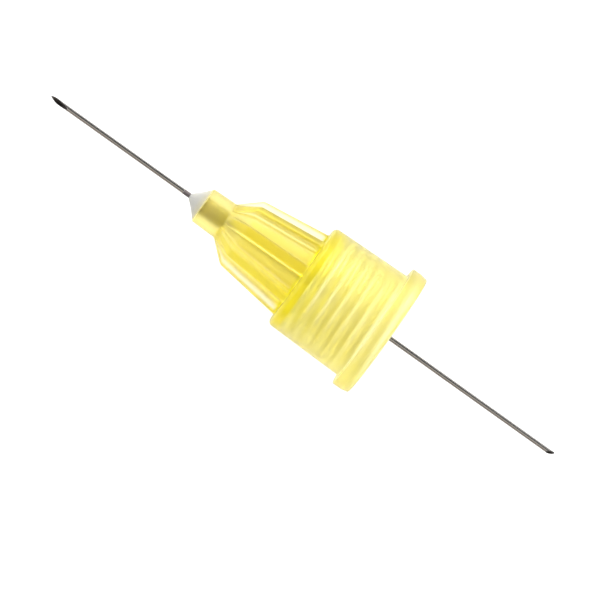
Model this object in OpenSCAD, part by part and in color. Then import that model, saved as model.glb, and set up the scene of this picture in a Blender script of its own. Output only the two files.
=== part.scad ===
// Double-ended dental injection needle, extra short, 30 gauge, with a
// moulded plastic hub that screws on the syringe by an internal thread.
// The needle lies on its side, as it rests on a table: the hub touches
// at the front edge of its flange and at the front corner of its skirt,
// and the patient end points along +X, slightly down. +Z is up.
// Lengths along the needle are counted from the rear face of the
// flange, towards the patient end.

/* [Cannula] */
// Outside diameter of the steel tube
cannula_od = 0.30; // [0.25:0.01:0.32]
// Inside diameter of the steel tube
cannula_id = 0.16; // [0.12:0.01:0.20]
// Distance of the patient point from the flange's rear face
point_x = 24.05; // [20:0.05:36]
// Distance of the cartridge point behind the flange's rear face
cartridge_x = 11.88; // [9:0.02:13]
// Angle of the lancet's first grind to the axis
point_angle = 11; // [10:0.5:16]
// Angle of the lancet's two side grinds to the axis
side_angle = 22; // [16:1:26]
// Turn of each side grind about the axis
side_turn = 32; // [20:1:45]
// Length that the side grinds take off the first grind's point
side_cut = 0.30; // [0.2:0.01:0.4]
// Angle of the grind at the cartridge end to the axis
cartridge_angle = 30; // [20:1:40]
// Turn of the patient bevel about the axis, from straight up
point_turn = 20; // [-45:1:60]
// Turn of the cartridge bevel about the axis, from straight up
cartridge_turn = 44; // [-60:1:75]

/* [Adhesive] */
// Height of the glue cone in front of the nose
glue_h = 0.93; // [0.5:0.01:1.2]
// Radius of the glue cone on the nose face
glue_r = 1.08; // [0.8:0.01:1.08]
// Radius of the glue well in the nose
well_r = 0.40; // [0.3:0.01:0.7]
// Depth of the straight part of the glue well
well_depth = 1.45; // [1:0.05:1.5]

/* [Hub: nose, core and fins] */
// Overall length of the hub
hub_l = 13.19; // [12.9:0.01:13.6]
// Radius of the nose at its front
nose_r = 1.13; // [1.12:0.01:1.16]
// Radius of the nose at its root
nose_root_r = 1.16; // [1.16:0.01:1.2]
// Where the nose ends and the shoulder begins
nose_x = 11.59; // [11.5:0.01:11.7]
// Where the shoulder ends
shoulder_x = 10.37; // [10.2:0.01:10.5]
// Radius of the hollow core at the shoulder
core_r0 = 1.65; // [1.6:0.01:1.7]
// Radius of the hollow core at the skirt
core_r1 = 2.10; // [2:0.01:2.15]
// Wall of the hollow core
core_wall = 0.46; // [0.4:0.01:0.5]
// Number of fins
fins = 8; // [6:1:8]
// Thickness of a fin
fin_t = 0.66; // [0.5:0.01:0.7]
// Radius over the fins at the shoulder
fin_r0 = 2.24; // [2.15:0.01:2.4]
// Radius over the fins at the skirt
fin_r1 = 2.80; // [2.6:0.01:2.9]
// Rounding of the fins' shoulder
fin_round = 0.45; // [0.2:0.05:0.6]
// Fillet along the root of a fin
root_fillet = 0.18; // [0.1:0.01:0.19]
// Rounding of a fin's two outer corners
fin_edge = 0.17; // [0.05:0.01:0.2]
// Turn of the fins about the axis, from straight up
fin_turn = 7.0; // [-22.5:0.1:22.5]

/* [Hub: skirt and flange] */
// Where the skirt's front face is
skirt_x = 6.15; // [6:0.01:6.3]
// Radius of the skirt at its front
skirt_r0 = 3.41; // [3.38:0.01:3.44]
// Radius of the skirt at the flange
skirt_r1 = 3.52; // [3.48:0.01:3.56]
// Rounding of the skirt's front corner
skirt_corner = 0.30; // [0.2:0.01:0.35]
// Thickness of the skirt's front wall
front_wall = 0.58; // [0.5:0.01:0.7]
// Radius of the flange's rim
flange_r = 4.08; // [3.9:0.01:4.2]
// Thickness of the flange
flange_t = 1.06; // [0.9:0.01:1.2]
// Length of the flange's straight rim
rim_l = 0.60; // [0.4:0.01:0.7]
// Radius of the flange at its rear face
flange_rear_r = 3.98; // [3.8:0.01:4]
// Radius over the crests of the internal thread
thread_minor_r = 2.594; // [2.55:0.001:2.65]
// Radius of the mouth's lead-in chamfer
mouth_r = 3.06; // [2.95:0.01:3.15]
// Depth of the mouth's lead-in chamfer
mouth_depth = 0.30; // [0.2:0.01:0.4]

/* [Hidden] */
$fn = 96;
edge = 0.07;                       // rounding of the flange's front edge
rear_edge = 0.12;                  // rounding of the flange's rear edge
nose_edge = 0.05;                  // rounding of the nose's front edge
clear = 0.02;                      // clearance of the cannula in the hub
seam = 2.75;                       // turn of the round body's seam about the axis
ro = cannula_od / 2;
ri = cannula_id / 2;
well_end = hub_l - well_depth;     // end of the straight glue well
cone_end = well_end - 0.34;        // where the well closes on the cannula
throat = cone_end - 0.10;          // where the hollow core begins
hollow_r0 = core_r0 - core_wall;   // radius of the hollow at the shoulder
hollow_r1 = core_r1 - core_wall;   // radius of the hollow at the skirt
cavity = skirt_x - front_wall;     // floor of the threaded skirt

// Centre of the arc of radius r that rounds corner b of the path a-b-c.
function corner_centre(a, b, c, r) =
    let (u = (a - b) / norm(a - b), v = (c - b) / norm(c - b),
         w = (u + v) / norm(u + v))
    b + w * r / sin(acos(u * v) / 2);

// Points along that arc.
function corner(a, b, c, r, n) =
    let (o = corner_centre(a, b, c, r),
         u = (a - b) / norm(a - b), v = (c - b) / norm(c - b),
         d = r / tan(acos(u * v) / 2),
         p = b + u * d - o, q = b + v * d - o)
    [for (i = [0:n]) let (m = p * (1 - i / n) + q * i / n) o + m * r / norm(m)];

// Corners of the hub's outline, as [radius, height].
rim_a = [flange_rear_r, 0];
rim_b = [flange_r, flange_t - rim_l];
rim_c = [flange_r, flange_t];
root_c = [skirt_r1, flange_t];
front_c = [skirt_r0, skirt_x];
core_c = [core_r1, skirt_x];

// Resting tilt: the table touches the round front edge of the flange
// and the round front corner of the skirt.
o1 = corner_centre(rim_b, rim_c, root_c, edge);
o2 = corner_centre(root_c, front_c, core_c, skirt_corner);
run = o2[1] - o1[1];
drop = o1[0] - o2[0];
tilt = atan2(drop, run) - asin((skirt_corner - edge) / norm([run, drop]));
axis_z = o1[0] * cos(tilt) + o1[1] * sin(tilt) + edge;
mid_x = (point_x - cartridge_x) / 2 * cos(tilt);

// Lays the needle's own axis, local +Z, in its resting place. Local +X
// points down, so straight up is a turn of 180 degrees.
module lie() {
    translate([-mid_x, 0, axis_z]) rotate([0, 90 + tilt, 0]) children();
}

hub_outline = concat(
    [[mouth_r, 0]],
    corner([mouth_r, 0], rim_a, rim_b, rear_edge, 5),
    [rim_b],
    corner(rim_b, rim_c, root_c, edge, 4),
    [root_c],
    corner(root_c, front_c, core_c, skirt_corner, 8),
    [core_c, [core_r0, shoulder_x], [nose_root_r, nose_x]],
    corner([nose_root_r, nose_x], [nose_r, hub_l], [0, hub_l], nose_edge, 3),
    [[well_r, hub_l], [well_r, well_end], [ro + clear, cone_end],
     [ro + clear, throat], [hollow_r0 * 0.72, shoulder_x + 0.30],
     [hollow_r0, shoulder_x - 0.10], [hollow_r1, cavity],
     [thread_minor_r, cavity], [thread_minor_r, mouth_depth]]
);

// Side outline of a fin, from the skirt to the nose, as [radius, height].
fin_a = [fin_r1, skirt_x];
fin_b = [fin_r0, shoulder_x];
fin_c = [nose_root_r, nose_x];
fin_bend = corner(fin_a, fin_b, fin_c, fin_round, 6);
turn_a = atan2(fin_r1 - fin_r0, shoulder_x - skirt_x);
turn_c = atan2(fin_r0 - nose_root_r, nose_x - shoulder_x);

// Section of a fin from radius r inwards by depth d, with two rounded
// outer corners.
function fin_section(r, d) = let (y = fin_t / 2 - fin_edge) concat(
    [for (i = [0:5]) [r - fin_edge + fin_edge * sin(18 * i), y + fin_edge * cos(18 * i)]],
    [for (i = [0:5]) [r - fin_edge + fin_edge * cos(18 * i), -y - fin_edge * sin(18 * i)]],
    [[r - d, -fin_t / 2], [r - d, fin_t / 2]]);

// The stretch of a fin under the straight line from a to b.
module fin_bar(a, b, d) {
    translate([a[0], 0, a[1]]) rotate([0, -atan2(a[0] - b[0], b[1] - a[1]), 0])
        linear_extrude(height = norm(b - a)) polygon(fin_section(0, d));
}

// One fin, standing in the plane of local X and the axis. Both its ends
// are sunk into the plastic of the skirt and the nose.
module fin() {
    o = corner_centre(fin_a, fin_b, fin_c, fin_round);
    fin_bar(fin_a + (fin_a - fin_b) / norm(fin_a - fin_b) * 0.2, fin_bend[0], 0.85);
    translate([o[0], 0, o[1]]) rotate([-90, 0, 0]) rotate([0, 0, -turn_c])
        rotate_extrude(angle = turn_c - turn_a) polygon(fin_section(fin_round, fin_round));
    fin_bar(fin_bend[6], fin_c + (fin_c - fin_b) / norm(fin_c - fin_b) * 0.25, 0.6);
}

// Half the width and the height of a root fillet on a core of radius r.
function fillet_x(r) = sqrt(pow(r + root_fillet, 2) - pow(fin_t / 2 + root_fillet, 2));

// The two root fillets of one fin, as a low ridge from height z0, where
// the core has radius r0, to height z1, where it has radius r1.
module root_ridge(z0, r0, z1, r1) {
    x0 = fillet_x(r0);
    x1 = fillet_x(r1);
    h = fin_t / 2;
    o = [0, h + root_fillet];
    // where the arc leaves the core, seen from the arc's centre
    t = [-x0, -(h + root_fillet)] * root_fillet / (r0 + root_fillet);
    side = [for (i = [0:6]) let (m = [0, -1] * (1 - i / 6) + t / norm(t) * i / 6)
        o + m * root_fillet / norm(m)];
    translate([x0, 0, z0]) rotate([0, -atan2(x0 - x1, z1 - z0), 0])
        linear_extrude(height = norm([x0 - x1, z1 - z0]))
            polygon(concat(
                side, [[-root_fillet - 0.05, h], [-root_fillet - 0.05, -h]],
                [for (i = [6:-1:0]) [side[i][0], -side[i][1]]]));
}

module hub() {
    color([0.95, 0.89, 0.35, 0.8]) lie() union() {
        rotate([0, 0, seam]) rotate_extrude() polygon(hub_outline);
        for (i = [0:fins - 1]) rotate([0, 0, 180 + fin_turn + i * 360 / fins]) {
            fin();
            root_ridge(skirt_x - 0.1, core_r1 + 0.01, shoulder_x, core_r0);
            root_ridge(shoulder_x - 0.05, core_r0 + 0.01, shoulder_x + 0.75,
                       core_r0 - 0.75 * (core_r0 - nose_root_r) / (nose_x - shoulder_x));
        }
    }
}

module adhesive() {
    color([0.93, 0.92, 0.88]) lie() rotate_extrude() polygon([
        [ro, hub_l + glue_h], [glue_r, hub_l], [well_r, hub_l],
        [well_r, well_end], [ro + clear, cone_end], [ro, cone_end]]);
}

// Everything above a ground plane that crosses the end of the tube, at
// height z, a distance depth below the axis, and that rises at angle a
// to the axis. turn is the direction in which the bevel faces.
module ground_off(z, depth, a, turn) {
    rotate([0, 0, turn]) translate([-depth, 0, z]) rotate([0, -a, 0])
        translate([0, -1, -4]) cube([4, 2, 8]);
}

module cannula() {
    color([0.62, 0.61, 0.58]) lie() difference() {
        translate([0, 0, -cartridge_x]) cylinder(r = ro, h = cartridge_x + point_x);
        translate([0, 0, -cartridge_x - 1])
            cylinder(r = ri, h = cartridge_x + point_x + 2);
        ground_off(point_x + side_cut, ro, point_angle, 180 - point_turn);
        for (s = [-1, 1])
            ground_off(point_x, ro * cos(side_turn), side_angle,
                       180 - point_turn + s * side_turn);
        mirror([0, 0, 1])
            ground_off(cartridge_x, ro, cartridge_angle, 180 - cartridge_turn);
    }
}

hub();
adhesive();
cannula();
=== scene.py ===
import math

import bpy
import numpy as np
from mathutils import Matrix, Vector


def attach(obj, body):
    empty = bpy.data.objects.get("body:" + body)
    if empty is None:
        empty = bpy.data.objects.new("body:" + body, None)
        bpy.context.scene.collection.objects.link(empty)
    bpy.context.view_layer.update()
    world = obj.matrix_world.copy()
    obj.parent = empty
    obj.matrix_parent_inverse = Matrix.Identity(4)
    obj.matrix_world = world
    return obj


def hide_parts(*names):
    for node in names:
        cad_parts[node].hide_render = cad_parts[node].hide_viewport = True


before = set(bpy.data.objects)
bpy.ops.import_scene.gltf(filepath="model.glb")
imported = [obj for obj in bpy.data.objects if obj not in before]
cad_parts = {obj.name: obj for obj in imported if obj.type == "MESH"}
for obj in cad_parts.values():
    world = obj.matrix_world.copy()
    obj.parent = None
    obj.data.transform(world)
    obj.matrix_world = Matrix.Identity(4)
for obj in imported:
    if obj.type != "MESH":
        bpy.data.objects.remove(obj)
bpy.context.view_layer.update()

MM = 0.001

# ---------------------------------------------------------------------------
# Sizes in millimetres, as in the part's own source. Heights run along the
# needle from the flange's rear face towards the patient end.
# ---------------------------------------------------------------------------
RO, RI = 0.15, 0.08
POINT, CARTRIDGE = 24.05, 11.88
POINT_A, SIDE_A, SIDE_TURN, SIDE_CUT = 11.0, 22.0, 32.0, 0.30
CART_A, POINT_TURN, CART_TURN = 30.0, 20.0, 44.0
HUB_L, NOSE_R, NOSE_ROOT, NOSE_X, SHOULDER = 13.19, 1.13, 1.16, 11.59, 10.37
CORE0, CORE1, WALL = 1.65, 2.10, 0.46
FINS, FIN_T, FIN0, FIN1, FIN_ROUND, FIN_FILLET, FIN_EDGE, FIN_TURN = 8, 0.66, 2.24, 2.80, 0.45, 0.18, 0.17, 7.0
# The two radii of 3.405 and 4.075 are 0.005 mm under the real ones: they stay inside the CAD mesh's box.
SKIRT_X, SKIRT0, SKIRT1, SKIRT_CORNER, FRONT_WALL = 6.15, 3.405, 3.52, 0.30, 0.58
FLANGE_R, FLANGE_T, RIM_L, FLANGE_REAR = 4.075, 1.06, 0.60, 3.98
MINOR, MAJOR, PITCH, MOUTH_R, MOUTH_D = 2.594, 3.0, 0.75, 3.06, 0.30
GLUE_H, GLUE_R, WELL_R, WELL_D = 0.93, 1.08, 0.40, 1.45
CAVITY = SKIRT_X - FRONT_WALL
WELL_END = HUB_L - WELL_D
CONE_END = WELL_END - 0.34
THROAT = CONE_END - 0.10
HOLLOW0, HOLLOW1 = CORE0 - WALL, CORE1 - WALL

# The needle's resting place: its axis is tilted nose down.
TILT = math.radians(7.750570070700118)
AXIS_Z, MID_X = 4.176879049157556, 6.029410820969485
EX = np.array([-math.sin(TILT), 0.0, -math.cos(TILT)])   # local X, down
EY = np.array([0.0, 1.0, 0.0])
EZ = np.array([math.cos(TILT), 0.0, -math.sin(TILT)])    # local Z, to the patient end
ORIGIN = np.array([-MID_X, 0.0, AXIS_Z])


def lie(p):
    """Points in the needle's own frame, in mm, to the row frame, in metres."""
    p = np.asarray(p, float)
    return (ORIGIN + p[:, 0:1] * EX + p[:, 1:2] * EY + p[:, 2:3] * EZ) * MM


def ring(r, x, phi):
    """A ring of points at radii r, heights x and angles phi."""
    phi = np.asarray(phi, float)
    r = np.broadcast_to(np.asarray(r, float), phi.shape)
    x = np.broadcast_to(np.asarray(x, float), phi.shape)
    return np.stack([r * np.cos(phi), r * np.sin(phi), x], 1)


def rounded(pts, radii, n=5):
    """A polyline of (r, x) points with its corners rounded by the given radii."""
    pts = [np.array(p, float) for p in pts]
    out = [pts[0]]
    for k in range(1, len(pts) - 1):
        a, b, c, rad = pts[k - 1], pts[k], pts[k + 1], radii[k]
        if rad <= 0:
            out.append(b)
            continue
        u, v = (a - b) / np.linalg.norm(a - b), (c - b) / np.linalg.norm(c - b)
        ang = math.acos(max(-1.0, min(1.0, float(u @ v))))
        d = rad / math.tan(ang / 2)
        w = (u + v) / np.linalg.norm(u + v)
        o = b + w * rad / math.sin(ang / 2)
        p, q = b + u * d - o, b + v * d - o
        for i in range(n + 1):
            m = p * (1 - i / n) + q * i / n
            out.append(o + m * rad / np.linalg.norm(m))
    out.append(pts[-1])
    return out


class Build:
    """Collects vertices and faces of one closed mesh."""

    def __init__(self):
        self.v, self.f, self.n = [], [], 0

    def add(self, pts):
        pts = np.asarray(pts, float)
        ids = np.arange(self.n, self.n + len(pts))
        self.v.append(pts)
        self.n += len(pts)
        return ids

    def strip(self, a, b):
        """Quads between two closed rings of the same count."""
        m = len(a)
        for i in range(m):
            j = (i + 1) % m
            self.f.append((a[i], a[j], b[j], b[i]))

    def make(self, name, sharp=math.radians(33)):
        import bmesh
        me = bpy.data.meshes.new(name)
        me.from_pydata(lie(np.concatenate(self.v)).tolist(), [], [tuple(int(i) for i in f) for f in self.f])
        bm = bmesh.new()
        bm.from_mesh(me)
        bmesh.ops.remove_doubles(bm, verts=bm.verts, dist=2e-8)
        bmesh.ops.dissolve_degenerate(bm, edges=bm.edges, dist=1e-8)
        bmesh.ops.recalc_face_normals(bm, faces=bm.faces)
        if bm.calc_volume(signed=True) < 0:
            bmesh.ops.reverse_faces(bm, faces=bm.faces)
        loose = sum(1 for e in bm.edges if len(e.link_faces) != 2)
        for fc in bm.faces:
            fc.smooth = True
        for e in bm.edges:
            if len(e.link_faces) == 2 and e.calc_face_angle(0.0) > sharp:
                e.smooth = False
        print(name, "faces", len(bm.faces), "tris", sum(len(f.verts) - 2 for f in bm.faces),
              "edges not shared by two faces", loose, "volume mm3", round(bm.calc_volume() * 1e9, 3))
        bm.to_mesh(me)
        bm.free()
        ob = bpy.data.objects.new(name, me)
        bpy.context.scene.collection.objects.link(ob)
        return ob


# ---------------------------------------------------------------------------
# Hub
# ---------------------------------------------------------------------------
N1, N2, N3, N4, N5 = 2, 4, 3, 4, 2        # steps of end face, corner, side, fillet, core
HALF = FIN_T / 2


def arc_between(c, p, q, n):
    """n steps from p towards q round centre c, without q."""
    out = []
    a, b = p - c, q - c
    ra = np.linalg.norm(a)
    for i in range(n):
        m = a * (1 - i / n) + b * i / n
        out.append(c + m * ra / max(np.linalg.norm(m), 1e-12))
    return out


def section(rc, rf, h, f, q):
    """Outline of the finned core: radius rc, fins to radius rf, half thickness h, root fillet f, corner q."""
    f = max(1e-4, min(f, 0.42 * (rf - rc)))
    q = max(1e-4, min(q, 0.42 * (rf - rc)))
    uc = math.sqrt((rc + f) ** 2 - (h + f) ** 2)
    fc = np.array([uc, h + f])
    f_side, f_core = np.array([uc, h]), fc * rc / (rc + f)
    qc = np.array([math.sqrt((rf - q) ** 2 - (h - q) ** 2), h - q])
    q_side, q_end = np.array([qc[0], h]), qc * rf / (rf - q)
    if q_side[0] < f_side[0]:
        m = (q_side[0] + f_side[0]) / 2
        q_side = np.array([m + 1e-5, h])
        f_side = np.array([m - 1e-5, h])
    ae = math.atan2(q_end[1], q_end[0])
    ac = math.atan2(f_core[1], f_core[0])
    half = [rf * np.array([math.cos(ae * i / N1), math.sin(ae * i / N1)]) for i in range(N1)]
    half += arc_between(qc, q_end, q_side, N2)
    half += [q_side * (1 - i / N3) + f_side * i / N3 for i in range(N3)]
    half += arc_between(fc, f_side, f_core, N4)
    a1 = math.pi / FINS
    half += [rc * np.array([math.cos(ac + (a1 - ac) * i / N5), math.sin(ac + (a1 - ac) * i / N5)]) for i in range(N5)]
    half = np.array(half)                       # from the fin's middle to the middle between fins, without it
    mid = rc * np.array([[math.cos(a1), math.sin(a1)]])
    mirror = half[1:][::-1] * np.array([1, -1])
    # one fin with half of the gap on each side of it
    part = np.concatenate([mid * np.array([1, -1]), mirror, half])
    out = []
    for k in range(FINS):
        a = math.radians(180 + FIN_TURN + 360 / FINS * k)
        c, s = math.cos(a), math.sin(a)
        out.append(part @ np.array([[c, s], [-s, c]]))
    return np.concatenate(out)


NS = len(section(2.0, 2.6, HALF, FIN_FILLET, FIN_EDGE))
START = math.radians(180 + FIN_TURN - 180 / FINS)
EVEN = START + np.arange(NS) * 2 * math.pi / NS


def line_r(x, pts):
    """Radius at height x on a polyline of (r, x), heights rising."""
    return float(np.interp(x, [p[1] for p in pts], [p[0] for p in pts]))


CORE_LINE = rounded([(CORE1, SKIRT_X), (CORE0, SHOULDER), (NOSE_ROOT, NOSE_X), (NOSE_ROOT - 0.006, NOSE_X + 0.35)],
                    [0, 1.0, 0.35, 0], 8)
FIN_LINE = rounded([(FIN1, SKIRT_X), (FIN0, SHOULDER), (NOSE_ROOT, NOSE_X), (NOSE_ROOT - 0.006, NOSE_X + 0.35)],
                   [0, FIN_ROUND, 0.25, 0], 8)


def hub():
    b = Build()
    rings = []
    # nose: front face, rounded edge, side
    nose = rounded([(WELL_R, HUB_L), (NOSE_R, HUB_L), (NOSE_ROOT, NOSE_X + 0.35)], [0, 0.07, 0], 5)
    first = None
    for r, x in nose:
        rings.append(b.add(ring(r, x, EVEN)))
        first = rings[0] if first is None else first
    # shoulder and core with fins
    xs = np.unique(np.round(np.concatenate([
        np.linspace(NOSE_X + 0.16, NOSE_X - 0.12, 9),
        np.linspace(NOSE_X - 0.12, SHOULDER + 0.14, 14),
        np.linspace(SHOULDER + 0.14, SHOULDER - 0.17, 12),
        np.linspace(SHOULDER - 0.17, SKIRT_X + 0.12, 16)]), 5))[::-1]
    for x in xs:
        rc, rf = line_r(x, CORE_LINE), line_r(x, FIN_LINE)
        if rf - rc < 0.004:
            s = section(rc, rc + 0.004, HALF, FIN_FILLET, FIN_EDGE)
            rc_all = np.linalg.norm(s, axis=1)
            s = s * (np.minimum(rc_all, rc) / rc_all)[:, None]
            # spread the points that would fall on each other
            ang = np.unwrap(np.arctan2(s[:, 1], s[:, 0]))
            even = ang[0] + np.arange(NS) * 2 * math.pi / NS
            t = np.clip((x - (NOSE_X - 0.02)) / 0.18, 0, 1) if x > NOSE_X else 0.25
            ang = ang * (1 - max(t, 0.25)) + even * max(t, 0.25)
            s = np.stack([rc * np.cos(ang), rc * np.sin(ang)], 1)
        else:
            s = section(rc, rf, HALF, FIN_FILLET, FIN_EDGE)
        rings.append(b.add(np.column_stack([s, np.full(NS, x)])))
    # small fillet where core and fins meet the skirt's front face
    g = 0.11
    for i in range(1, 6):
        a = math.pi / 2 * i / 5
        d, x = g * (1 - math.cos(a)), SKIRT_X + g * (1 - math.sin(a))
        rc, rf = line_r(x, CORE_LINE) + d, line_r(x, FIN_LINE) + d
        s = section(rc, rf, HALF + d, max(0.03, FIN_FILLET - d), FIN_EDGE + d)
        rings.append(b.add(np.column_stack([s, np.full(NS, x)])))
    # skirt and flange, outside
    last = s
    r0 = SKIRT0 - 0.30
    for t in (0.35, 0.7):
        target = np.stack([r0 * np.cos(EVEN), r0 * np.sin(EVEN)], 1)
        rings.append(b.add(np.column_stack([last * (1 - t) + target * t, np.full(NS, SKIRT_X)])))
    edge = [(r0 - 0.0005, SKIRT_X), (SKIRT0, SKIRT_X), (SKIRT1, FLANGE_T), (FLANGE_R, FLANGE_T),
            (FLANGE_R, FLANGE_T - RIM_L), (FLANGE_REAR, 0.0), (MOUTH_R + 0.04, 0.0)]
    prof = rounded(edge, [0, SKIRT_CORNER, 0.09, 0.07, 0.05, 0.12, 0], 7)
    full = []
    for k, p in enumerate(prof):
        full.append(p)
        if k + 1 < len(prof) and abs(prof[k + 1][1] - p[1]) > 1.5:      # long skirt wall
            for t in np.linspace(0, 1, 9)[1:-1]:
                full.append(p * (1 - t) + prof[k + 1] * t)
    for r, x in full:
        rings.append(b.add(ring(r, x, EVEN)))
    for a, c in zip(rings, rings[1:]):
        b.strip(a, c)
    rear = rings[-1]

    # threaded wall: right-handed, 60 degree grooves, with flat roots and crests and slightly rounded corners
    depth, flank = MAJOR - MINOR, (MAJOR - MINOR) * math.tan(math.radians(30)) / PITCH
    root = 1 / 16
    thread = rounded([(MINOR, -0.5 * PITCH), (MINOR, -(root + flank) * PITCH), (MAJOR, -root * PITCH),
                      (MAJOR, root * PITCH), (MINOR, (root + flank) * PITCH), (MINOR, 0.5 * PITCH)],
                     [0, 0.055, 0.04, 0.04, 0.055, 0], 3)
    extra = []
    for k, p in enumerate(thread[:-1]):
        q = thread[k + 1]
        n = max(1, int(round(np.linalg.norm(q - p) / 0.055)))
        for i in range(n):
            extra.append(p * (1 - i / n) + q * i / n)
    thread = np.array(extra)                    # one pitch, without the repeated end
    m = len(thread)
    offset = 5.35 - PITCH * 0.5                 # a groove's middle at height 5.35, straight up
    eps = 0.004

    def wall(i, c):
        """Vertex of thread column i, with running number c."""
        turn, k = divmod(c, m)
        x = offset + turn * PITCH + thread[k][1] + PITCH * (EVEN[i % NS] - math.pi) / (2 * math.pi)
        x += PITCH * (i // NS)
        chamfer = MOUTH_R - (MOUTH_R - MINOR) * max(x, 0) / MOUTH_D
        return max(thread[k][0], chamfer), x

    cols = []
    for i in range(NS + 1):
        c = -8 * m
        keys = []
        while True:
            r, x = wall(i, c)
            if x > CAVITY - eps:
                break
            if x > eps:
                keys.append(c)
            c += 1
        cols.append(keys)

    def wall_r(i, x):
        """Radius of the threaded wall at height x in column i."""
        u = (x - offset - PITCH * (EVEN[i % NS] - math.pi) / (2 * math.pi)) / PITCH
        u = (u + 0.5) % 1.0 - 0.5
        r = float(np.interp(u * PITCH, np.append(thread[:, 1], thread[0, 1] + PITCH), np.append(thread[:, 0], thread[0, 0])))
        return max(r, MOUTH_R - (MOUTH_R - MINOR) * x / MOUTH_D)

    low = b.add(ring([wall_r(i, 0.0) for i in range(NS)], 0.0, EVEN))
    b.strip(rear, low)
    high = b.add(ring([wall_r(i, CAVITY) for i in range(NS)], CAVITY, EVEN))
    ids = []
    for i in range(NS):
        pts = [wall(i, c) for c in cols[i]]
        got = b.add(ring([p[0] for p in pts], [p[1] for p in pts], np.full(len(pts), EVEN[i])))
        ids.append(dict(zip(cols[i], got)))
    for i in range(NS):
        j = (i + 1) % NS
        left = ids[i]
        # the next column; past the seam its numbers run one turn on
        right = ids[j] if i + 1 < NS else {c - m: v for c, v in ids[0].items()}
        lk, rk = sorted(left), sorted(right)
        both = [c for c in lk if c in right]
        for c in both[:-1]:
            b.f.append((left[c], right[c], right[c + 1], left[c + 1]))
        # low end
        a = both[0]
        more_l = [left[c] for c in lk if c < a]
        more_r = [right[c] for c in rk if c < a]
        b.f.append(tuple([low[i], low[j]] + more_r + [right[a], left[a]] + more_l[::-1]))
        # high end
        a = both[-1]
        more_l = [left[c] for c in lk if c > a]
        more_r = [right[c] for c in rk if c > a]
        b.f.append(tuple([left[a], right[a]] + more_r + [high[j], high[i]] + more_l[::-1]))

    # cavity floor, hollow core, throat and glue well
    inside = rounded([(2.2, CAVITY), (HOLLOW1, CAVITY), (HOLLOW0, SHOULDER - 0.10), (HOLLOW0 * 0.72, SHOULDER + 0.30),
                      (RO + 0.02, THROAT), (RO + 0.02, CONE_END), (WELL_R, WELL_END), (WELL_R, HUB_L - 0.02)],
                     [0, 0.07, 0.5, 0.3, 0.03, 0.03, 0.06, 0], 6)
    prev = high
    full = []
    for k, p in enumerate(inside):
        full.append(p)
        if k + 1 < len(inside) and abs(inside[k + 1][1] - p[1]) > 1.0:
            for t in np.linspace(0, 1, 9)[1:-1]:
                full.append(p * (1 - t) + inside[k + 1] * t)
    for r, x in full:
        now = b.add(ring(r, x, EVEN))
        b.strip(prev, now)
        prev = now
    b.strip(prev, rings[0])
    return b.make("hub_moulding")


# ---------------------------------------------------------------------------
# Adhesive
# ---------------------------------------------------------------------------
def adhesive():
    b = Build()
    n = 96
    phi = np.arange(n) * 2 * math.pi / n
    over, under = 0.004, 0.004                  # sunk into the plastic and round the tube, as a bond is
    # cone with the slightly hollow flank of a meniscus
    cone = []
    for i in range(15):
        t = i / 14
        r = RO - under + (GLUE_R - RO + under) * t
        x = HUB_L + GLUE_H * (1 - t) - 0.05 * math.sin(math.pi * t) ** 1.2 * (1 - 0.3 * t)
        cone.append((r, x))
    cone[0] = (RO - under, HUB_L + GLUE_H)
    prof = cone + rounded([(GLUE_R, HUB_L), (GLUE_R - 0.02, HUB_L - over), (WELL_R + over, HUB_L - over),
                           (WELL_R + over, WELL_END), (RO + 0.02, CONE_END), (RO - under, CONE_END)],
                          [0, 0, 0, 0.05, 0, 0], 4)[1:]
    rings = [b.add(ring(r, x, phi)) for r, x in prof]
    for a, c in zip(rings, rings[1:]):
        b.strip(a, c)
    prev = rings[-1]
    for x in np.linspace(CONE_END, HUB_L + GLUE_H, 6)[1:-1]:
        now = b.add(ring(RO - under, x, phi))
        b.strip(prev, now)
        prev = now
    b.strip(prev, rings[0])
    return b.make("adhesive_bond", math.radians(40))


# ---------------------------------------------------------------------------
# Cannula
# ---------------------------------------------------------------------------
def ground(px, py, z, depth, angle, turn):
    """Height at which the line at (px, py) meets a ground plane."""
    t = math.radians(turn)
    return z - (px * math.cos(t) + py * math.sin(t) + depth) / math.tan(math.radians(angle))


def point_end(px, py):
    z = ground(px, py, POINT + SIDE_CUT, RO, POINT_A, 180 - POINT_TURN)
    for s in (-1, 1):
        z = np.minimum(z, ground(px, py, POINT, RO * math.cos(math.radians(SIDE_TURN)), SIDE_A,
                                 180 - POINT_TURN + s * SIDE_TURN))
    return z


def cartridge_end(px, py):
    return -ground(px, py, CARTRIDGE, RO, CART_A, 180 - CART_TURN)


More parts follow.
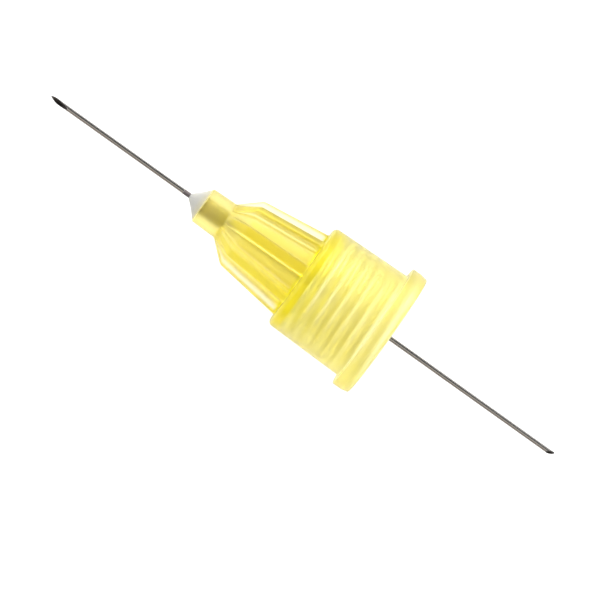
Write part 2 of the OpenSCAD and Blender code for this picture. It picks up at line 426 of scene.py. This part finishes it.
def cannula():
    b = Build()
    n = 96
    phi = np.arange(n) * 2 * math.pi / n + math.radians(180 - POINT_TURN)
    lo_end, hi_end = -CARTRIDGE + 0.9, POINT - 2.1

    def end_ring(r, which):
        px, py = r * np.cos(phi), r * np.sin(phi)
        return np.stack([px, py, which(px, py)], 1)

    def lerp(r, which, base, t):
        e = end_ring(r, which)
        e[:, 2] = base * (1 - t) + e[:, 2] * t
        return e

    rings = []
    # ground face of the cartridge end, from the bore out
    for r in np.linspace(RI, RO, 6):
        rings.append(b.add(end_ring(r, cartridge_end)))
    for t in (0.75, 0.5, 0.25):
        rings.append(b.add(lerp(RO, cartridge_end, lo_end, t)))
    for x in np.linspace(lo_end, hi_end, 61):
        rings.append(b.add(ring(RO, x, phi)))
    for t in (0.2, 0.4, 0.6, 0.8):
        rings.append(b.add(lerp(RO, point_end, hi_end, t)))
    for r in np.linspace(RO, RI, 8):
        rings.append(b.add(end_ring(r, point_end)))
    for t in (0.8, 0.6, 0.4, 0.2):
        rings.append(b.add(lerp(RI, point_end, hi_end, t)))
    for x in np.linspace(hi_end, lo_end, 31):
        rings.append(b.add(ring(RI, x, phi)))
    for t in (0.25, 0.5, 0.75):
        rings.append(b.add(lerp(RI, cartridge_end, lo_end, t)))
    for a, c in zip(rings, rings[1:]):
        b.strip(a, c)
    b.strip(rings[-1], rings[0])
    return b.make("cannula_tube", math.radians(28))


# ---------------------------------------------------------------------------
# Materials
# ---------------------------------------------------------------------------
def new_material(name):
    mat = bpy.data.materials.new(name)
    mat.use_nodes = True
    nt = mat.node_tree
    nt.nodes.clear()
    out = nt.nodes.new("ShaderNodeOutputMaterial")
    p = nt.nodes.new("ShaderNodeBsdfPrincipled")
    nt.links.new(p.outputs["BSDF"], out.inputs["Surface"])
    return mat, nt, p, out


def node(nt, kind, **inputs):
    n = nt.nodes.new(kind)
    for k, v in inputs.items():
        n.inputs[k.replace("_", " ")].default_value = v
    return n


def along_needle(nt):
    """The place in the needle's own frame, in mm: X and Y across, Z from the flange's rear face."""
    coords = nt.nodes.new("ShaderNodeTexCoord")
    mapping = nt.nodes.new("ShaderNodeVectorMath")
    mapping.operation = "SUBTRACT"
    nt.links.new(coords.outputs["Object"], mapping.inputs[0])
    mapping.inputs[1].default_value = tuple(ORIGIN * MM)
    join = nt.nodes.new("ShaderNodeCombineXYZ")
    for k, e in enumerate((EX, EY, EZ)):
        dot = nt.nodes.new("ShaderNodeVectorMath")
        dot.operation = "DOT_PRODUCT"
        nt.links.new(mapping.outputs[0], dot.inputs[0])
        dot.inputs[1].default_value = tuple(e / MM)
        nt.links.new(dot.outputs["Value"], join.inputs[k])
    return join.outputs[0]


def maths(nt, op, a, b=None, clamp=False):
    n = nt.nodes.new("ShaderNodeMath")
    n.operation = op
    n.use_clamp = clamp
    for k, v in enumerate((a, b)):
        if v is None:
            continue
        if isinstance(v, (int, float)):
            n.inputs[k].default_value = v
        else:
            nt.links.new(v, n.inputs[k])
    return n.outputs[0]


def ramp(nt, fac, stops):
    n = nt.nodes.new("ShaderNodeValToRGB")
    cr = n.color_ramp
    while len(cr.elements) < len(stops):
        cr.elements.new(0.5)
    for e, (p, c) in zip(cr.elements, stops):
        e.position = p
        e.color = (*c, 1) if len(c) == 3 else c
    nt.links.new(fac, n.inputs[0])
    return n.outputs[0]


def noise(nt, vec, scale, detail=3.0, rough=0.5, stretch=None):
    if stretch is not None:
        m = nt.nodes.new("ShaderNodeMapping")
        m.inputs["Scale"].default_value = stretch
        nt.links.new(vec, m.inputs[0])
        vec = m.outputs[0]
    n = nt.nodes.new("ShaderNodeTexNoise")
    n.inputs["Scale"].default_value = scale
    n.inputs["Detail"].default_value = detail
    n.inputs["Roughness"].default_value = rough
    nt.links.new(vec, n.inputs["Vector"])
    return n.outputs[0]


def mixed(nt, fac, a, b):
    """Colour a where fac is 0, and b where it is 1. Each is a colour or an output."""
    m = nt.nodes.new("ShaderNodeMix")
    m.data_type = "RGBA"
    nt.links.new(fac, m.inputs["Factor"])
    for k, v in ((6, a), (7, b)):
        if isinstance(v, tuple):
            m.inputs[k].default_value = (*v, 1)
        else:
            nt.links.new(v, m.inputs[k])
    return m.outputs[2]


def step(nt, value, lo, hi):
    """0 below lo, 1 above hi, and smooth between."""
    m = nt.nodes.new("ShaderNodeMapRange")
    m.interpolation_type = "SMOOTHSTEP"
    m.inputs["From Min"].default_value, m.inputs["From Max"].default_value = lo, hi
    nt.links.new(value, m.inputs["Value"])
    return m.outputs[0]


POLISH = ((0.0, 0.36), (3.0, 0.34), (6.2, 0.33), (10.3, 0.34), (11.8, 0.46), (13.19, 0.46))  # roughness of the outside
MATT = ((0.0, 0.62), (2.0, 0.54), (5.4, 0.36), (5.8, 0.42), (13.0, 0.42))       # and of the inside, by height
# painted light and shade: these base colours by height stand in for how much plastic the light crosses, laid over the
# plastic's own yellow
TINT_AND_DEPTH_SHADE_OUT = ((0.0, (0.95, 0.92, 0.74)), (1.1, (0.95, 0.92, 0.74)), (1.5, (0.96, 0.92, 0.62)), (5.3, (0.96, 0.92, 0.62)),
               (5.6, (0.96, 0.92, 0.09)), (6.25, (0.96, 0.92, 0.09)), (6.4, (0.95, 0.88, 0.64)), (11.2, (0.95, 0.88, 0.64)),
               (11.8, (0.94, 0.89, 0.64)), (13.19, (0.94, 0.89, 0.64)))
TINT_AND_DEPTH_SHADE_IN = ((0.0, (0.97, 0.955, 0.85)), (1.0, (0.97, 0.95, 0.75)), (5.3, (0.97, 0.95, 0.65)), (5.7, (0.97, 0.94, 0.45)),
              (10.4, (0.97, 0.94, 0.45)), (11.5, (0.95, 0.91, 0.50)), (13.19, (0.95, 0.91, 0.55)))
# painted light on the fins' flat faces, painted shade on the fins' outer ends and on the bore in line with each fin
FIN_SIDE_PAINTED_LIGHT, FIN_END_PAINTED_SHADE, FIN_ROOT_PAINTED_SHADE = (1.0, 0.99, 0.97), (0.88, 0.80, 0.16), (0.92, 0.83, 0.14)


def plastic():
    mat, nt, p, out = new_material("yellow_translucent_plastic")
    at = along_needle(nt)
    sep = nt.nodes.new("ShaderNodeSeparateXYZ")
    nt.links.new(at, sep.inputs[0])
    x, y, z = sep.outputs
    rad = maths(nt, "SQRT", maths(nt, "ADD", maths(nt, "MULTIPLY", x, x), maths(nt, "MULTIPLY", y, y)))
    # radius of the core and over the fins at this height, and how far out on a fin this point is
    k0, k1 = (CORE1 - CORE0) / (SHOULDER - SKIRT_X), (CORE0 - NOSE_ROOT) / (NOSE_X - SHOULDER)
    f0, f1 = (FIN1 - FIN0) / (SHOULDER - SKIRT_X), (FIN0 - NOSE_ROOT) / (NOSE_X - SHOULDER)

    def line(k, c):
        n = nt.nodes.new("ShaderNodeMath")
        n.operation = "MULTIPLY_ADD"
        nt.links.new(z, n.inputs[0])
        n.inputs[1].default_value, n.inputs[2].default_value = -k, c
        return n.outputs[0]

    core = maths(nt, "MINIMUM", line(k0, CORE1 + k0 * SKIRT_X), line(k1, CORE0 + k1 * SHOULDER))
    fin = maths(nt, "MINIMUM", line(f0, FIN1 + f0 * SKIRT_X), line(f1, FIN0 + f1 * SHOULDER))
    out_on_fin = maths(nt, "DIVIDE", maths(nt, "SUBTRACT", rad, core), maths(nt, "MAXIMUM", maths(nt, "SUBTRACT", fin, core), 0.03))
    # painted light: the fins' flat faces get a near-white base colour, for the light that crosses a thin fin only once
    fin_side_light = maths(nt, "MULTIPLY", maths(nt, "MULTIPLY", step(nt, out_on_fin, 0.26, 0.44), step(nt, out_on_fin, 0.88, 0.72)),
                 maths(nt, "MULTIPLY", step(nt, z, SKIRT_X + 0.05, SKIRT_X + 0.2), step(nt, z, NOSE_X + 0.1, NOSE_X - 0.5)))
    # polished outside, matt on the faces that the mould's cores left
    limit = maths(nt, "ADD", maths(nt, "MULTIPLY", step(nt, z, 5.8, 5.7), 3.2),
                  maths(nt, "MULTIPLY", step(nt, z, 5.7, 5.8), maths(nt, "SUBTRACT", core, WALL / 2)))
    inside = step(nt, maths(nt, "SUBTRACT", rad, limit), 0.03, -0.03)
    # painted shade over the plastic's own yellow: the base colour changes along the hub, deepest on the skirt's front
    # wall and in the hollow core, to stand in for the light's path through more or less plastic
    far = maths(nt, "DIVIDE", z, HUB_L)
    wall = ramp(nt, far, [(x_ / HUB_L, c) for x_, c in TINT_AND_DEPTH_SHADE_OUT])
    bore = ramp(nt, far, [(x_ / HUB_L, c) for x_, c in TINT_AND_DEPTH_SHADE_IN])
    # painted shade: the bore in line with each fin gets a deep yellow, for the fin's whole depth of plastic that light
    # crosses in front of it
    wave = maths(nt, "COSINE", maths(nt, "SUBTRACT", maths(nt, "MULTIPLY", maths(nt, "ARCTAN2", y, x), float(FINS)),
                                     math.radians(FINS * FIN_TURN)))
    fin_depth_shade = maths(nt, "MULTIPLY", step(nt, wave, -0.35, 0.25),
                   maths(nt, "MULTIPLY", step(nt, z, CAVITY + 0.1, CAVITY + 0.3), step(nt, z, SHOULDER + 0.5, SHOULDER)))
    bore = mixed(nt, fin_depth_shade, bore, FIN_ROOT_PAINTED_SHADE)
    # painted shade: the fins' outer ends get a deep yellow, for the fin's whole depth of plastic that light crosses
    # when seen end on
    fin_end_shade = maths(nt, "MULTIPLY", maths(nt, "MULTIPLY", step(nt, out_on_fin, 0.72, 0.88), step(nt, wave, 0.35, 0.75)),
                    maths(nt, "MULTIPLY", step(nt, z, SKIRT_X + 0.02, SKIRT_X + 0.1), step(nt, z, NOSE_X + 0.1, NOSE_X - 0.5)))
    body = mixed(nt, inside, mixed(nt, fin_end_shade, mixed(nt, fin_side_light, wall, FIN_SIDE_PAINTED_LIGHT), FIN_END_PAINTED_SHADE), bore)
    fine = noise(nt, at, 2.2, 3.0, 0.55)
    grain = noise(nt, at, 26.0, 2.0, 0.5)
    p.inputs["Metallic"].default_value = 0.0
    p.inputs["IOR"].default_value = 1.49
    p.inputs["Transmission Weight"].default_value = 0.98
    matt = ramp(nt, far, [(x_ / HUB_L, (v, v, v)) for x_, v in MATT])
    polish = ramp(nt, far, [(x_ / HUB_L, (v, v, v)) for x_, v in POLISH])
    gloss = mixed(nt, inside, polish, matt)
    spread = nt.nodes.new("ShaderNodeMapRange")
    spread.inputs["From Min"].default_value, spread.inputs["From Max"].default_value = 0.35, 0.65
    spread.inputs["To Min"].default_value, spread.inputs["To Max"].default_value = 0.95, 1.07
    nt.links.new(fine, spread.inputs["Value"])
    nt.links.new(maths(nt, "MULTIPLY", gloss, spread.outputs[0]), p.inputs["Roughness"])
    cloud = ramp(nt, fine, [(0.3, (1.0, 0.99, 0.94)), (0.7, (1.0, 1.0, 1.0))])
    tint = nt.nodes.new("ShaderNodeMix")
    tint.data_type, tint.blend_type = "RGBA", "MULTIPLY"
    tint.inputs["Factor"].default_value = 1.0
    nt.links.new(body, tint.inputs[6])
    nt.links.new(cloud, tint.inputs[7])
    nt.links.new(tint.outputs[2], p.inputs["Base Color"])
    p.inputs["Specular Tint"].default_value = (1.0, 0.98, 0.55, 1)
    bump = nt.nodes.new("ShaderNodeBump")
    bump.inputs["Strength"].default_value = 0.04
    bump.inputs["Distance"].default_value = 0.00001
    nt.links.new(grain, bump.inputs["Height"])
    nt.links.new(bump.outputs[0], p.inputs["Normal"])
    vol = nt.nodes.new("ShaderNodeVolumeAbsorption")
    vol.inputs["Color"].default_value = (0.965, 0.915, 0.0, 1)
    vol.inputs["Density"].default_value = 350.0
    nt.links.new(vol.outputs[0], out.inputs["Volume"])
    return mat


def glue():
    mat, nt, p, out = new_material("milky_adhesive")
    at = along_needle(nt)
    cloud = noise(nt, at, 3.0, 3.0, 0.6)
    # painted shade: olive and darker inside the nose, where light reaches it only through the yellow plastic; milky
    # grey in front of it
    sep = nt.nodes.new("ShaderNodeSeparateXYZ")
    nt.links.new(at, sep.inputs[0])
    far = maths(nt, "DIVIDE", maths(nt, "SUBTRACT", sep.outputs[2], 11.2), 3.0)
    tone_and_nose_shade = ramp(nt, far, [((z_ - 11.2) / 3.0, c) for z_, c in (
        (11.7, (0.56, 0.50, 0.07)), (12.1, (0.54, 0.48, 0.11)), (12.45, (0.50, 0.44, 0.16)),
        (13.0, (0.66, 0.59, 0.20)), (13.15, (0.62, 0.55, 0.18)), (13.27, (0.40, 0.375, 0.26)),
        (13.6, (0.38, 0.375, 0.345)), (14.15, (0.40, 0.395, 0.37)))])
    tint = nt.nodes.new("ShaderNodeMix")
    tint.data_type, tint.blend_type = "RGBA", "MULTIPLY"
    tint.inputs["Factor"].default_value = 1.0
    nt.links.new(tone_and_nose_shade, tint.inputs[6])
    nt.links.new(ramp(nt, cloud, [(0.3, (0.92, 0.92, 0.91)), (0.7, (1.0, 1.0, 1.0))]), tint.inputs[7])
    nt.links.new(tint.outputs[2], p.inputs["Base Color"])
    p.inputs["Subsurface Weight"].default_value = 0.8
    p.inputs["Subsurface Radius"].default_value = (1.0, 1.0, 0.9)
    p.inputs["Subsurface Scale"].default_value = 0.00035
    p.inputs["IOR"].default_value = 1.48
    rough = nt.nodes.new("ShaderNodeMapRange")
    rough.inputs["To Min"].default_value, rough.inputs["To Max"].default_value = 0.30, 0.45
    nt.links.new(cloud, rough.inputs["Value"])
    nt.links.new(rough.outputs[0], p.inputs["Roughness"])
    bump = nt.nodes.new("ShaderNodeBump")
    bump.inputs["Strength"].default_value = 0.12
    bump.inputs["Distance"].default_value = 0.00002
    nt.links.new(cloud, bump.inputs["Height"])
    nt.links.new(bump.outputs[0], p.inputs["Normal"])
    return mat


def steel():
    mat, nt, p, out = new_material("drawn_stainless_steel")
    at = along_needle(nt)
    sep = nt.nodes.new("ShaderNodeSeparateXYZ")
    nt.links.new(at, sep.inputs[0])
    x, y, z = sep.outputs
    rad = maths(nt, "SQRT", maths(nt, "ADD", maths(nt, "MULTIPLY", x, x), maths(nt, "MULTIPLY", y, y)))
    drawn = noise(nt, at, 30.0, 3.0, 0.6, (1.0, 1.0, 0.02))
    # blasted band just in front of the adhesive
    band = maths(nt, "MULTIPLY",
                 maths(nt, "MULTIPLY", maths(nt, "SUBTRACT", z, 14.02), 22.0, True),
                 maths(nt, "MULTIPLY", maths(nt, "SUBTRACT", 14.58, z), 22.0, True))
    blast = noise(nt, at, 45.0, 2.0, 0.6)
    base = ramp(nt, drawn, [(0.35, (0.33, 0.315, 0.30)), (0.65, (0.42, 0.405, 0.385))])
    # painted shade: the ground faces and the bore, inside the drawn skin, get a near-black base colour that stands in
    # for the dark surroundings they mirror and the shade in the bore
    skin = step(nt, rad, RO - 0.006, RO - 0.002)
    grind = noise(nt, at, 60.0, 2.0, 0.5, (1.0, 1.0, 0.15))
    base = mixed(nt, skin, ramp(nt, grind, [(0.35, (0.035, 0.032, 0.03)), (0.65, (0.07, 0.065, 0.06))]), base)
    dark = ramp(nt, blast, [(0.35, (0.10, 0.085, 0.085)), (0.65, (0.19, 0.165, 0.165))])
    nt.links.new(mixed(nt, band, base, dark), p.inputs["Base Color"])
    p.inputs["Metallic"].default_value = 1.0
    r = nt.nodes.new("ShaderNodeMapRange")
    r.inputs["To Min"].default_value, r.inputs["To Max"].default_value = 0.14, 0.26
    nt.links.new(drawn, r.inputs["Value"])
    rough = maths(nt, "ADD", r.outputs[0], maths(nt, "MULTIPLY", band, 0.45))
    nt.links.new(rough, p.inputs["Roughness"])
    bump = nt.nodes.new("ShaderNodeBump")
    bump.inputs["Strength"].default_value = 0.25
    bump.inputs["Distance"].default_value = 0.000004
    nt.links.new(drawn, bump.inputs["Height"])
    bump2 = nt.nodes.new("ShaderNodeBump")
    bump2.inputs["Distance"].default_value = 0.00001
    nt.links.new(maths(nt, "MULTIPLY", blast, band), bump2.inputs["Height"])
    nt.links.new(bump.outputs[0], bump2.inputs["Normal"])
    nt.links.new(bump2.outputs[0], p.inputs["Normal"])
    return mat


# ---------------------------------------------------------------------------
# Pieces
# ---------------------------------------------------------------------------
for ob, mat, cad, slot in ((hub(), plastic(), "hub", "hub_plastic"),
                           (adhesive(), glue(), "adhesive", "adhesive"),
                           (cannula(), steel(), "cannula", "steel")):
    ob.data.materials.append(mat)
    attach(ob, "root")
    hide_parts(cad)

# ---------------------------------------------------------------------------
# Stage: pale floor, soft light, camera at the photograph's angle
# ---------------------------------------------------------------------------
scene = bpy.context.scene
VIEW = math.radians(9.75)
V = Vector((-math.sin(VIEW), 0, -math.cos(VIEW)))
E = Vector((-math.cos(VIEW), 0, math.sin(VIEW)))     # rearward, in the picture's plane
N = Vector((0, -1, 0))                               # across, up and to the right in the picture
ROLL = math.radians(35.47)


def floor():
    import bmesh
    me = bpy.data.meshes.new("floor")
    bm = bmesh.new()
    bmesh.ops.create_circle(bm, cap_ends=True, segments=96, radius=1.2)
    bm.to_mesh(me)
    bm.free()
    ob = bpy.data.objects.new("floor", me)
    scene.collection.objects.link(ob)
    ob.location.z = -0.00001
    mat, nt, p, out = new_material("floor_white")
    p.inputs["Base Color"].default_value = (0.60, 0.60, 0.60, 1)
    p.inputs["Roughness"].default_value = 0.9
    p.inputs["Emission Color"].default_value = (1.0, 1.0, 1.0, 1)
    p.inputs["Emission Strength"].default_value = 0.60
    p.inputs["Specular IOR Level"].default_value = 0.0
    me.materials.append(mat)
    return ob


floor()

world = bpy.data.worlds.new("studio")
scene.world = world
world.use_nodes = True
wt = world.node_tree
wt.nodes.clear()
w_out = wt.nodes.new("ShaderNodeOutputWorld")
w_bg = wt.nodes.new("ShaderNodeBackground")
wt.links.new(w_bg.outputs[0], w_out.inputs[0])
coords = wt.nodes.new("ShaderNodeTexCoord")


def facing(direction):
    """Cosine between a direction of the sky and the given one."""
    dot = wt.nodes.new("ShaderNodeVectorMath")
    dot.operation = "DOT_PRODUCT"
    wt.links.new(coords.outputs["Generated"], dot.inputs[0])
    dot.inputs[1].default_value = tuple(Vector(direction).normalized())
    return dot.outputs["Value"]


# A white light tent in strips along the needle, by their angle round it. A slit across the needle's axis shows a darker
# room, which only the tube mirrors.
UPWARD = Vector((math.sin(TILT), 0, math.cos(TILT)))
across = facing(N)
turn = maths(wt, "ARCTAN2", across, facing(UPWARD))
place = wt.nodes.new("ShaderNodeMapRange")
place.inputs["From Min"].default_value, place.inputs["From Max"].default_value = math.radians(-100), math.radians(100)
wt.links.new(turn, place.inputs["Value"])


def strips(values):
    """Brightness of the tent at -80, -40, 0, 40 and 80 degrees round the needle."""
    stops = [((a + 100) / 200, (v, v, v)) for a, v in zip((-80, -40, 0, 40, 80), values)]
    return ramp(wt, place.outputs[0], stops)


TENT = (0.05, 0.20, 0.62, 0.15, 3.3)
ENDS = (0.80, 0.55)                                     # brightness at the patient end and at the rear
along = facing(EZ)
tent = strips(TENT)
tent = mixed(wt, step(wt, along, 0.45, 0.70), tent, (ENDS[0],) * 3)
tent = mixed(wt, step(wt, along, -0.45, -0.70), tent, (ENDS[1],) * 3)
slit_place = wt.nodes.new("ShaderNodeMath")
slit_place.operation = "MULTIPLY_ADD"
wt.links.new(across, slit_place.inputs[0])
slit_place.inputs[1].default_value = slit_place.inputs[2].default_value = 0.5
slit = ramp(wt, slit_place.outputs[0], [
    (0.0, (0.30, 0.22, 0.16)), (0.10, (0.42, 0.33, 0.25)), (0.22, (0.90, 0.84, 0.76)), (0.36, (1.0, 0.97, 0.90)),
    (0.50, (0.60, 0.58, 0.54)), (0.62, (0.05, 0.05, 0.055)), (1.0, (0.03, 0.03, 0.035))])
bright = wt.nodes.new("ShaderNodeVectorMath")
bright.operation = "SCALE"
bright.inputs["Scale"].default_value = 3.0
wt.links.new(tent, bright.inputs[0])
sky = mixed(wt, step(wt, maths(wt, "ABSOLUTE", along), 0.10, 0.24), slit, bright.outputs[0])
wt.links.new(sky, w_bg.inputs["Color"])
w_bg.inputs["Strength"].default_value = 1.0

scene.view_settings.view_transform = "Standard"
scene.view_settings.look = "None"
scene.view_settings.exposure = 0.0
scene.cycles.max_bounces = 24
scene.cycles.transmission_bounces = 24
scene.cycles.glossy_bounces = 8
scene.cycles.diffuse_bounces = 6
scene.cycles.caustics_refractive = True
scene.cycles.caustics_reflective = True
scene.cycles.blur_glossy = 0.5

cam_data = bpy.data.cameras.new("camera")
cam = bpy.data.objects.new("camera", cam_data)
scene.collection.objects.link(cam)
scene.camera = cam
DIST, PX = 0.45, 17.2                                 # metres, and pixels a mm in the object's plane
cam_data.sensor_width = 36.0
cam_data.lens = PX * 36.0 * DIST / MM / 600.0
cam_data.clip_start, cam_data.clip_end = 0.01, 20.0
AIM_S, AIM_R = 319.8, -21.0                           # the picture's middle, in pixels along and across the needle
aim = Vector(lie(np.array([[0.0, 0.0, (412.4 - AIM_S) / PX]]))[0]) + N * (AIM_R / PX * MM)
right = math.cos(ROLL) * E + math.sin(ROLL) * N
up = -math.sin(ROLL) * E + math.cos(ROLL) * N
rot = Matrix((right, up, -V)).transposed()
cam.matrix_world = Matrix.Translation(aim - V * DIST) @ rot.to_4x4()
